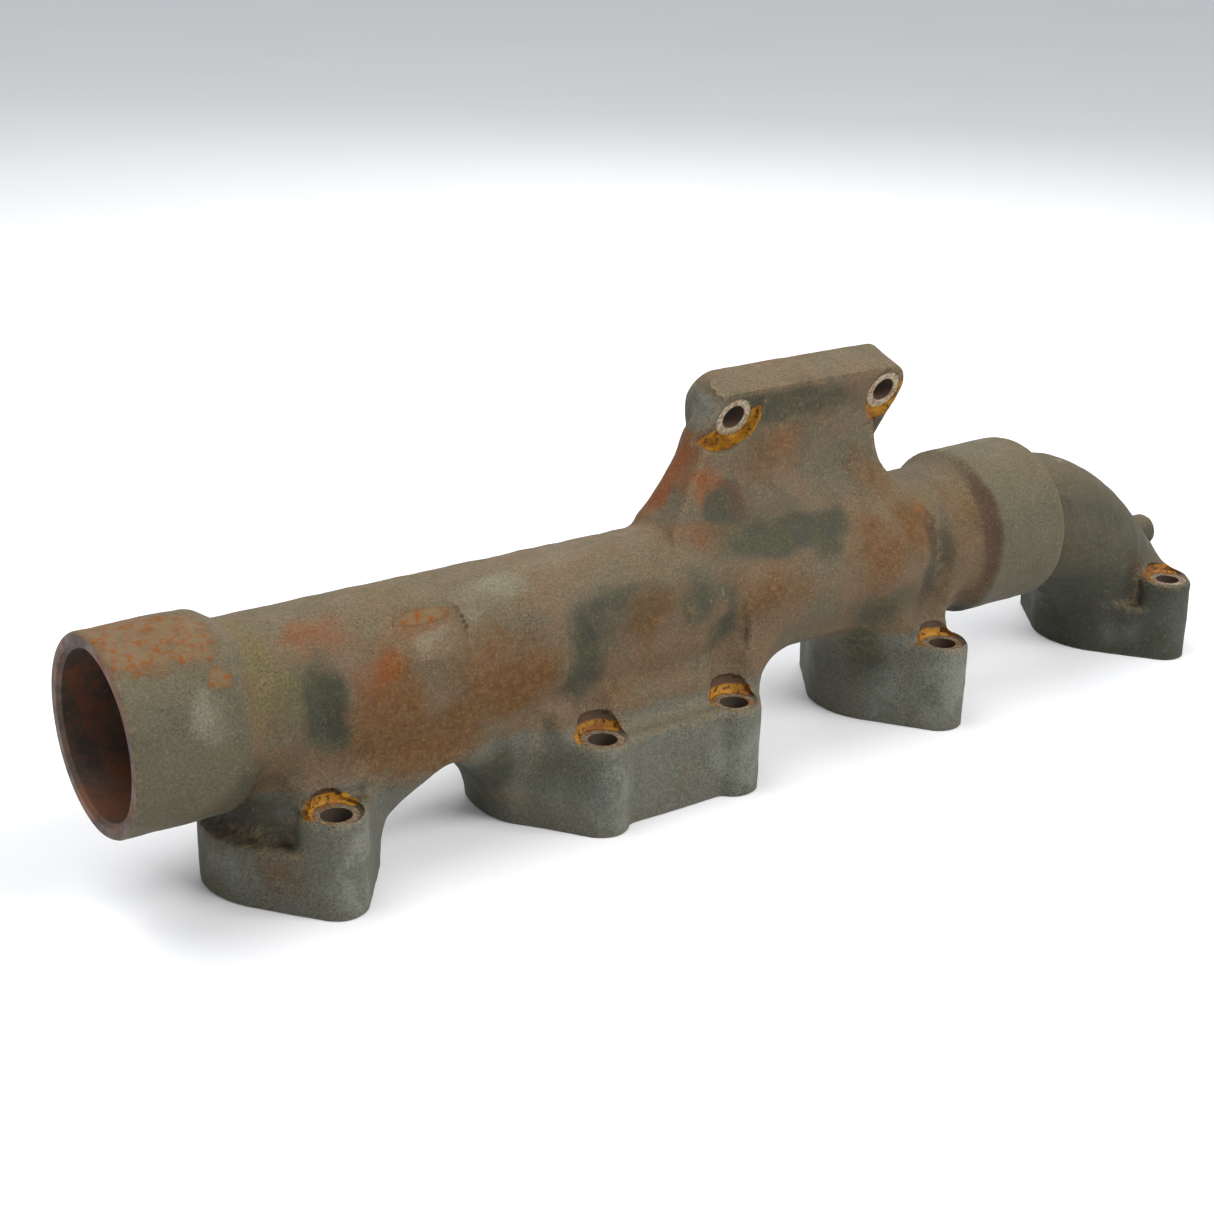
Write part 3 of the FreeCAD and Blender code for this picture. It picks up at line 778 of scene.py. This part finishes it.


# Patches of colour on the castings, in millimetres: heat, paint and rust, while the dark and green
# patches also hold painted shade and the pale ones small painted highlights. Columns: centre, reach
# along X, Y and Z, and strength. Crisp ones keep their plain outline.
CRISP_PATCHES = ("rust", "dark")
PATCHES = {
    "brown": [
        ((-128, -30, 66), (22, 24, 26), 1.0), ((-104, -24, 52), (24, 24, 22), 1.0),
        ((-72, -30, 66), (26, 24, 15), 1.0), ((-84, -26, 80), (30, 20, 14), 0.6),
        ((-4, -34, 80), (13, 16, 13), 1.0), ((-20, -34, 52), (12, 12, 8), 0.5),
        ((60, -32, 82), (30, 18, 16), 0.6), ((118, -28, 84), (20, 24, 18), 0.8),
        ((128, -10, 112), (12, 16, 22), 0.6), ((76, -8, 128), (32, 12, 12), 0.55),
        ((140, -24, 92), (14, 18, 18), 0.8), ((-20, 34, 80), (90, 22, 26), 0.8),
        ((168, -14, 84), (10, 24, 22), 0.7), ((176, -22, 92), (8, 20, 16), 0.6),
        ((-180, -34, 16), (18, 18, 12), 0.6),
        ((-156, -48, 32), (5, 10, 8), 0.5), ((8, -44, 16), (10, 10, 12), 0.35),
    ],
    "red": [
        ((-148, -18, 99), (20, 14, 9), 0.6), ((-106, -24, 94), (24, 12, 9), 0.5),
        ((-132, -26, 84), (14, 12, 13), 0.6), ((32, 10, 124), (16, 13, 22), 1.3),
        ((20, 14, 112), (12, 14, 10), 0.8),
        ((40, -8, 121), (11, 12, 13), 0.9),
        ((28, -14, 103), (24, 12, 8), 0.55), ((-80, -29, 80), (20, 10, 9), 0.35),
        ((-20, -12, 104), (40, 10, 6), 0.35), ((84, -6, 132), (14, 10, 10), 0.45),
        ((58, -8, 112), (8, 10, 10), 0.5), ((-60, 20, 98), (50, 16, 12), 0.4),
        ((148, -20, 96), (7, 10, 8), 0.55), ((104, -28, 74), (14, 12, 12), 0.4),
    ],
    # dark stains, and painted shade at the right socket's shoulder, in the grooves and on bolt
    # pocket walls
    "dark": [
        ((184, -24, 82), (5, 26, 30), 1.1), ((50, -9, 112), (9, 10, 12), 1.0),
        ((122, -20, 60), (16, 16, 12), 0.6), ((150, -28, 84), (5, 10, 16), 0.9),
        ((152, -34, 62), (10, 12, 16), 0.7),
        ((-40, -30, 60), (14, 12, 10), 0.5), ((-190, -30, 46), (16, 12, 8), 0.6),
        ((236, -28, 60), (8, 12, 20), 0.5), ((290, -30, 44), (10, 10, 8), 0.6),
    ],
    "olive": [
        ((-175, -22, 94), (9, 26, 20), 1.0), ((-166, -27, 84), (7, 14, 14), 0.8),
        ((-186, 20, 100), (20, 24, 20), 0.6), ((150, -12, 98), (16, 20, 10), 0.6),
        ((-112, 2, 106), (40, 14, 6), 0.5), ((178, -14, 98), (10, 22, 20), 0.5),
        ((34, -36, 62), (9, 10, 7), 0.5), ((-196, -34, 60), (10, 12, 14), 0.4),
        ((-70, -18, 10), (22, 30, 6), 0.45), ((246, -24, 34), (12, 16, 18), 0.4),
    ],
    # greenish paint, and painted shade where the patches sit in the grooves above the bosses and
    # under the tube
    "green_paint_and_shade": [
        ((56, -20, 104), (46, 22, 18), 0.55), ((-16, -32, 84), (38, 12, 22), 0.5),
        ((-162, -30, 74), (20, 16, 34), 0.5), ((80, -6, 140), (46, 12, 20), 0.4),
        ((-60, -34, 24), (30, 24, 18), 0.5), ((124, -26, 60), (26, 18, 14), 0.75),
        ((-154, -30, 78), (10, 12, 25), 1.1), ((-36, -30, 74), (9, 12, 24), 0.95),
        ((-16, -32, 92), (22, 10, 6), 0.8), ((20, -30, 88), (12, 10, 14), 0.85),
        ((34, -30, 72), (11, 10, 16), 0.9), ((152, -30, 66), (9, 10, 18), 0.85),
        ((68, -22, 100), (30, 14, 12), 1.1), ((92, -22, 96), (16, 14, 12), 1.0),
        ((42, -10, 112), (9, 12, 9), 1.2), ((88, -2, 147), (44, 8, 9), 1.1),
        ((-178, -10, 34), (16, 30, 12), 1.1), ((-184, -34, 58), (14, 12, 16), 0.85),
        ((-74, -14, 22), (12, 30, 22), 1.0), ((-52, -33, 30), (10, 10, 8), 0.5),
        ((122, -18, 36), (10, 22, 22), 0.9), ((-14, -36, 62), (5, 6, 6), 0.5),
        ((160, -20, 84), (6, 12, 14), 0.6), ((262, -24, 40), (28, 18, 20), 0.55),
        ((55, -8, 156), (10, 8, 6), 0.6), ((214, -30, 60), (16, 12, 14), 0.4),
    ],
    # pale dust and a scratch, and small painted highlights such as the one on top of the elbow
    "pale": [
        ((-68, -17, 102), (20, 9, 6), 0.8), ((-84, -24, 95), (10, 6, 5), 0.5),
        ((-40, -8, 105), (34, 10, 5), 0.45), ((-199, -36, 88), (9, 10, 10), 0.85),
        ((-104, -27, 92), (12, 5, 5), 0.7), ((95, 4, 163), (50, 10, 4), 0.35),
        ((206, -10, 110), (22, 16, 6), 0.35), ((31, -31, 88), (2.2, 5, 14), 0.75),
        ((31, -31, 66), (2, 5, 8), 0.5), ((112, -14, 100), (12, 12, 12), 0.3),
        ((255, -9, 100), (4, 3, 3), 0.9), ((252, -33, 50), (5, 4, 3), 0.6),
    ],
    "blue": [
        ((-150, -48, 22), (11, 14, 24), 1.2), ((-186, -12, 14), (14, 26, 14), 0.5),
        ((-36, -48, 18), (14, 12, 22), 0.9), ((-56, -34, 16), (16, 14, 16), 0.7),
        ((34, -48, 18), (14, 12, 20), 0.9), ((150, -48, 20), (16, 14, 22), 1.0),
        ((128, -30, 12), (16, 16, 14), 0.6), ((305, -46, 16), (20, 16, 20), 0.3),
        ((46, 8, 152), (7, 16, 10), 0.9), ((276, -34, 14), (16, 16, 12), 0.5),
    ],
    "rust": [
        ((-215, -6, 110), (15, 25, 9), 1.5), ((-198, -10, 108), (11, 18, 9), 1.2),
        ((-192, -28, 97), (5, 6, 4), 0.85), ((-104, -19, 99), (12, 3, 3), 1.2),
        ((-224, -28, 60), (3, 14, 26), 0.3),
    ],
}


# -------- material nodes
class Nodes:
    """A material's node tree, with one short call per kind of node."""

    def __init__(self, name):
        self.material = bpy.data.materials.new(name)
        self.material.use_nodes = True
        self.tree = self.material.node_tree
        self.tree.nodes.clear()
        coordinates = self.add("ShaderNodeTexCoord").outputs
        self.place, self.normal = coordinates["Object"], coordinates["Normal"]

    def add(self, kind, **settings):
        node = self.tree.nodes.new(kind)
        for key, value in settings.items():
            setattr(node, key, value)
        return node

    def feed(self, socket, value):
        if isinstance(value, bpy.types.NodeSocket):
            self.tree.links.new(value, socket)
        elif isinstance(value, tuple) and len(value) == 3 and socket.type == "RGBA":
            socket.default_value = value + (1,)
        else:
            socket.default_value = value

    def math(self, operation, a, b=0.0, clamp=False):
        node = self.add("ShaderNodeMath", operation=operation, use_clamp=clamp)
        self.feed(node.inputs[0], a)
        self.feed(node.inputs[1], b)
        return node.outputs[0]

    def noise(self, scale, detail=4.0, roughness=0.55, distortion=0.0):
        node = self.add("ShaderNodeTexNoise")
        self.feed(node.inputs["Vector"], self.place)
        node.inputs["Scale"].default_value = scale
        node.inputs["Detail"].default_value = detail
        node.inputs["Roughness"].default_value = roughness
        node.inputs["Distortion"].default_value = distortion
        return node.outputs["Fac"]

    def height_of(self, vector):
        parts = self.add("ShaderNodeSeparateXYZ")
        self.feed(parts.inputs[0], vector)
        return parts.outputs["Z"]

    def mix_value(self, a, b, share):
        node = self.add("ShaderNodeMix", data_type="FLOAT")
        self.feed(node.inputs[0], share)
        self.feed(node.inputs[2], a)
        self.feed(node.inputs[3], b)
        return node.outputs[0]

    def cells(self, scale):
        node = self.add("ShaderNodeTexVoronoi")
        self.feed(node.inputs["Vector"], self.place)
        node.inputs["Scale"].default_value = scale
        return node.outputs["Distance"]

    def mask(self, name):
        return self.add("ShaderNodeAttribute", attribute_name=name).outputs["Fac"]

    def ramp(self, value, low, high, to_low=0.0, to_high=1.0):
        node = self.add("ShaderNodeMapRange", interpolation_type="SMOOTHSTEP")
        self.feed(node.inputs[0], value)
        for index, number in enumerate((low, high, to_low, to_high), 1):
            node.inputs[index].default_value = number
        return node.outputs[0]

    def mix(self, factor, a, b, blend="MIX"):
        node = self.add("ShaderNodeMix", data_type="RGBA", blend_type=blend)
        self.feed(node.inputs[0], factor)
        self.feed(node.inputs[6], a)
        self.feed(node.inputs[7], b)
        return node.outputs[2]

    def vivid(self, colour, saturation):
        node = self.add("ShaderNodeHueSaturation")
        node.inputs["Saturation"].default_value = saturation
        self.feed(node.inputs["Color"], colour)
        return node.outputs[0]

    def patch(self, name, noise, spread=0.3, low=0.15, high=0.85):
        """A mask with its outline broken up by noise."""
        ragged = self.math("MULTIPLY", self.math("SUBTRACT", noise, 0.5), spread * 2)
        return self.ramp(self.math("ADD", self.mask(name), ragged), low, high)

    def blend(self, share, strength, colour, tint):
        """Colour with some of a tint laid over it, where share is high."""
        return self.mix(self.math("MULTIPLY", share, strength), colour, tint)

    def surface(self, colour, roughness, bumps, metallic=0.0, specular=0.4):
        """Ends the tree. bumps holds (height, strength, depth) from coarse to fine."""
        shader = self.add("ShaderNodeBsdfPrincipled")
        self.feed(shader.inputs["Base Color"], colour)
        self.feed(shader.inputs["Roughness"], roughness)
        self.feed(shader.inputs["Metallic"], metallic)
        shader.inputs["Specular IOR Level"].default_value = specular
        normal = None
        for height, strength, depth in bumps:
            bump = self.add("ShaderNodeBump")
            bump.inputs["Strength"].default_value = strength
            bump.inputs["Distance"].default_value = depth
            self.feed(bump.inputs["Height"], height)
            if normal is not None:
                self.tree.links.new(normal, bump.inputs["Normal"])
            normal = bump.outputs["Normal"]
        self.tree.links.new(normal, shader.inputs["Normal"])
        out = self.add("ShaderNodeOutputMaterial")
        self.tree.links.new(shader.outputs[0], out.inputs["Surface"])
        return self.material


def srgb(*levels):
    """Linear colour from the usual 0 to 255 values, none of them nearly black."""
    return tuple(((level / 255 + 0.055) / 1.055) ** 2.4 for level in levels)


def cast_skin(name, tube, tube_grey, skirt):
    """Old paint over sand-cast iron, browned by heat, dusty on top with painted top light, pitted
    and rusty, with painted shade in hollows and grooves and a few small painted highlights.
    """
    n = Nodes(name)
    broad = n.noise(22, 3, 0.6)
    middle = n.noise(75, 5, 0.62, 0.3)
    small = n.noise(330, 5, 0.65)
    grain = n.noise(1000, 3, 0.6)
    colour = n.mix(n.ramp(n.mix_value(broad, middle, 0.5), 0.42, 0.6), tube, tube_grey)
    colour = n.blend(n.patch("skirt", middle), 0.9, colour, skirt)
    colour = n.blend(n.patch("socket", middle), 0.75, colour, srgb(101, 100, 83))
    # pale dust and painted light from above: faces turned upward are painted a lighter tan
    colour = n.blend(n.ramp(n.height_of(n.normal), 0.35, 0.95), 0.35, colour, srgb(146, 130, 104))
    brown = n.mix(n.ramp(small, 0.4, 0.62), srgb(110, 76, 44), srgb(124, 92, 60))
    colour = n.blend(n.patch("brown", middle), 0.85, colour, brown)
    colour = n.blend(n.patch("olive", middle), 0.6, colour, srgb(124, 114, 76))
    colour = n.blend(n.patch("red", middle), 0.7, colour, srgb(152, 92, 60))
    # dark stains, and painted shade at steps, grooves and pocket walls
    colour = n.blend(n.patch("dark", middle), 0.85, colour, srgb(84, 64, 50))
    blue = n.mix(n.ramp(middle, 0.4, 0.62), srgb(142, 145, 134), srgb(114, 119, 110))
    colour = n.blend(n.patch("blue", broad), 0.75, colour, blue)
    # greenish paint, and painted shade in the grooves and under the tube
    green_paint_and_shade = n.mix(n.ramp(middle, 0.4, 0.6), srgb(56, 60, 48), srgb(74, 76, 58))
    colour = n.blend(n.patch("green_paint_and_shade", broad), 0.88, colour, green_paint_and_shade)
    # pale dust and a scratch, and small painted highlights
    colour = n.blend(n.patch("pale", middle), 0.65, colour, srgb(152, 150, 132))
    # painted shade: darker brown in hollows and tight corners, where the surface is least open
    painted_cavity_shade = n.ramp(n.mask("open_far"), 0.75, 0.15)
    colour = n.blend(painted_cavity_shade, 0.7, colour, srgb(42, 38, 26))
    painted_crease_shade = n.ramp(n.mask("open_near"), 0.75, 0.3)
    colour = n.blend(painted_crease_shade, 0.4, colour, srgb(58, 46, 30))
    worn = n.math("MULTIPLY", n.ramp(n.mask("edge"), 0.3, 0.9), n.ramp(small, 0.4, 0.6))
    colour = n.blend(worn, 0.45, colour, srgb(150, 132, 106))
    dusty = n.math("MULTIPLY", n.ramp(small, 0.5, 0.7), n.ramp(middle, 0.35, 0.65))
    colour = n.blend(dusty, 0.2, colour, srgb(150, 136, 108))
    flecks = n.math("MULTIPLY", n.ramp(n.cells(420), 0.16, 0.08), n.ramp(n.noise(60), 0.52, 0.64))
    colour = n.blend(flecks, 0.4, colour, srgb(182, 166, 138))
    low_down = n.math("MULTIPLY", n.mask("skirt"), 0.1)
    pitted = n.ramp(n.math("ADD", n.noise(48, 3), low_down), 0.53, 0.68)
    pits = n.math("MULTIPLY", n.ramp(n.cells(800), 0.36, 0.14), pitted)
    colour = n.blend(pits, 0.55, colour, srgb(42, 39, 30))
    colour = n.mix(n.ramp(grain, 0.35, 0.7, 0, 0.4), colour, srgb(50, 43, 31))
    colour = n.mix(n.ramp(grain, 0.42, 0.2, 0, 0.35), colour, srgb(172, 154, 124))
    scale_rust = n.mix(n.ramp(small, 0.46, 0.64, 0, 0.75), srgb(138, 116, 90), srgb(156, 86, 42))
    scale_rust = n.mix(n.ramp(n.noise(210, 4), 0.5, 0.66, 0, 0.45), scale_rust, srgb(104, 92, 72))
    rust = n.patch("rust", n.mix_value(small, middle, 0.5), 0.6, 0.2, 0.65)
    colour = n.blend(rust, 0.9, colour, scale_rust)
    crescent = n.patch("crescent", middle, low=0.35, high=0.6)
    colour = n.blend(crescent, 0.9, colour, yellow_rust(n, small, middle))
    colour = n.mix(1.0, colour, SHADE, "MULTIPLY")
    colour = n.vivid(colour, 1.17)
    roughness = n.ramp(middle, 0.3, 0.7, 0.6, 0.85)
    bumps = [(middle, 0.35, 0.0010), (small, 0.55, 0.0006), (grain, 0.5, 0.00025),
             (n.math("MULTIPLY", pits, -1.0), 0.5, 0.0005),
             (n.math("MULTIPLY", rust, small), 0.7, 0.0014)]
    return n.surface(colour, roughness, bumps, 0.0, 0.3)


def yellow_rust(n, small, middle):
    """Ochre rust that has run out round the bolts."""
    colour = n.mix(n.ramp(middle, 0.42, 0.6), srgb(184, 130, 36), srgb(138, 82, 34))
    return n.mix(n.ramp(small, 0.5, 0.62), colour, srgb(84, 56, 30))


def machined_iron(name):
    """Cut faces: dull iron with fine tool marks, brown stains and rust."""
    n = Nodes(name)
    middle = n.noise(90, 5, 0.6)
    small = n.noise(420, 4, 0.6)
    tooling = n.noise(1500, 2, 0.5)
    colour = n.mix(n.ramp(middle, 0.35, 0.65), srgb(88, 68, 52), srgb(58, 48, 40))
    colour = n.mix(n.ramp(n.noise(38, 4, 0.6), 0.5, 0.62, 0, 0.75), colour, srgb(112, 60, 32))
    colour = n.mix(n.ramp(small, 0.5, 0.68, 0, 0.7), colour, srgb(104, 66, 40))
    crescent = n.patch("crescent", middle, low=0.35, high=0.6)
    colour = n.blend(crescent, 0.95, colour, yellow_rust(n, small, middle))
    colour = n.mix(n.mask("hole"), colour, srgb(78, 68, 56))
    roughness = n.ramp(middle, 0.3, 0.7, 0.45, 0.7)
    return n.surface(colour, roughness, [(small, 0.25, 0.0004), (tooling, 0.3, 0.0002)],
                     0.2, 0.5)


def washer_iron(name):
    """Pale pressed rings where the bolts' washers sat."""
    n = Nodes(name)
    middle = n.noise(160, 4, 0.6)
    small = n.noise(700, 4, 0.65)
    pale = n.mix(n.ramp(small, 0.38, 0.62), srgb(168, 154, 130), srgb(120, 104, 82))
    brown = n.mix(n.ramp(small, 0.38, 0.62), srgb(136, 120, 98), srgb(94, 78, 58))
    colour = n.mix(n.ramp(n.height_of(n.place), 0.06, 0.1), brown, pale)
    colour = n.mix(n.ramp(middle, 0.5, 0.64, 0, 0.8), colour, srgb(116, 74, 40))
    return n.surface(colour, n.ramp(small, 0.3, 0.7, 0.5, 0.75), [(small, 0.4, 0.0003)], 0.15, 0.4)


def sooty_bore(name):
    """Gas passages: black soot with brown rust coming through."""
    n = Nodes(name)
    middle = n.noise(60, 5, 0.65, 0.4)
    small = n.noise(300, 5, 0.65)
    colour = n.mix(n.ramp(middle, 0.4, 0.65), srgb(36, 33, 29), srgb(70, 50, 35))
    colour = n.mix(n.ramp(small, 0.52, 0.7, 0, 0.6), colour, srgb(94, 60, 36))
    return n.surface(colour, 0.9, [(middle, 0.4, 0.001), (small, 0.5, 0.0006)], 0.0, 0.3)


def ring_steel(name):
    """Sprung steel seal rings, straw and blue from heat."""
    n = Nodes(name)
    middle = n.noise(120, 4, 0.6)
    fine = n.noise(900, 3, 0.6)
    colour = n.mix(n.ramp(middle, 0.35, 0.65), srgb(120, 108, 96), srgb(84, 80, 92))
    return n.surface(colour, n.ramp(fine, 0.3, 0.7, 0.3, 0.5), [(fine, 0.2, 0.0002)], 0.9, 0.5)


# -------- the object
iron = machined_iron("machined_iron")
bore = sooty_bore("sooty_bore")
washer = washer_iron("washer_iron")
centre = centre_casting()
# old paint, with painted top light, painted shade in hollows and grooves and small painted
# highlights
centre_paint_and_painted_light = cast_skin("old_paint_and_painted_light", srgb(120, 101, 80), srgb(108, 102, 86), srgb(114, 116, 106))
finish_casting(centre, centre_skin, centre_core, [centre_paint_and_painted_light, iron, bore, washer], -math.inf)
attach(centre, "manifold")
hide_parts("centre_section")

elbow = elbow_casting()
elbow_paint_and_painted_light = cast_skin("elbow_paint_and_painted_light", srgb(84, 81, 66), srgb(75, 76, 64), srgb(68, 71, 62))
finish_casting(elbow, elbow_skin, elbow_core, [elbow_paint_and_painted_light, iron, bore, washer], SPIGOT_SHOULDER)
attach(elbow, "elbow")
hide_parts("end_elbow")

steel = ring_steel("ring_steel_tinted")
for ring in ("inboard_seal_ring", "outboard_seal_ring", "seal_backing_ring"):
    node = frame["nodes"][ring]
    node.data.materials.clear()
    node.data.materials.append(steel)


# -------- floor, light and camera
def plain(name, colour, roughness):
    """Studio surface with hardly any variation."""
    n = Nodes(name)
    soft = n.noise(3, 2)
    shade = n.mix(n.ramp(soft, 0.3, 0.7), colour, tuple(c * 0.985 for c in colour))
    return n.surface(shade, roughness, [(soft, 0.02, 0.001)], 0.0, 0.2)


def floor():
    made = bmesh.new()
    bmesh.ops.create_grid(made, x_segments=2, y_segments=2, size=6)
    mesh = closed_up(made, "floor")
    mesh.materials.append(plain("pale_floor", (0.86, 0.86, 0.86), 0.9))
    ground = new_object("floor", mesh)
    ground.location.z = -0.0004


def softbox(name, at, aim, size, power):
    light = bpy.data.lights.new(name, "AREA")
    light.shape = "RECTANGLE"
    light.size, light.size_y = size
    light.energy = power
    lamp = bpy.data.objects.new(name, light)
    bpy.context.scene.collection.objects.link(lamp)
    lamp.location = at
    lamp.rotation_euler = (Vector(aim) - Vector(at)).to_track_quat("-Z", "Y").to_euler()


def studio():
    world = bpy.data.worlds.new("studio")
    world.use_nodes = True
    background = world.node_tree.nodes["Background"]
    background.inputs[0].default_value = (0.93, 0.95, 1.0, 1)
    background.inputs[1].default_value = 0.62
    bpy.context.scene.world = world
    softbox("key", (0.55, -1.1, 1.2), (0.0, 0, 0.07), (1.0, 0.8), 22)
    softbox("top", (-0.5, 0.3, 1.6), (0.0, 0, 0.06), (1.2, 1.0), 16)
    softbox("back", (0.9, 1.0, 1.0), (0.05, 0, 0.08), (1.0, 0.8), 6)


def camera():
    """The viewpoint: left of the middle and above, looking along the engine to the right."""
    lens, sensor = 61.0, 36.0
    yaw, pitch, roll = math.radians(36.23), math.radians(21.17), math.radians(1.3)
    spot = Vector((-0.4713, -0.6369, 0.3812))
    ahead = Vector((math.sin(yaw) * math.cos(pitch), math.cos(yaw) * math.cos(pitch),
                    -math.sin(pitch)))
    right = Vector((math.cos(yaw), -math.sin(yaw), 0))
    up = right.cross(ahead)
    right, up = (right * math.cos(roll) + up * math.sin(roll),
                 up * math.cos(roll) - right * math.sin(roll))
    data = bpy.data.cameras.new("camera")
    data.lens, data.sensor_width = lens, sensor
    data.clip_start = 0.02
    eye = bpy.data.objects.new("camera", data)
    bpy.context.scene.collection.objects.link(eye)
    turn = Matrix((right, up, -ahead)).transposed().to_4x4()
    eye.matrix_world = Matrix.Translation(spot) @ turn
    bpy.context.scene.camera = eye


floor()
studio()
camera()
bpy.context.scene.view_settings.view_transform = "Standard"
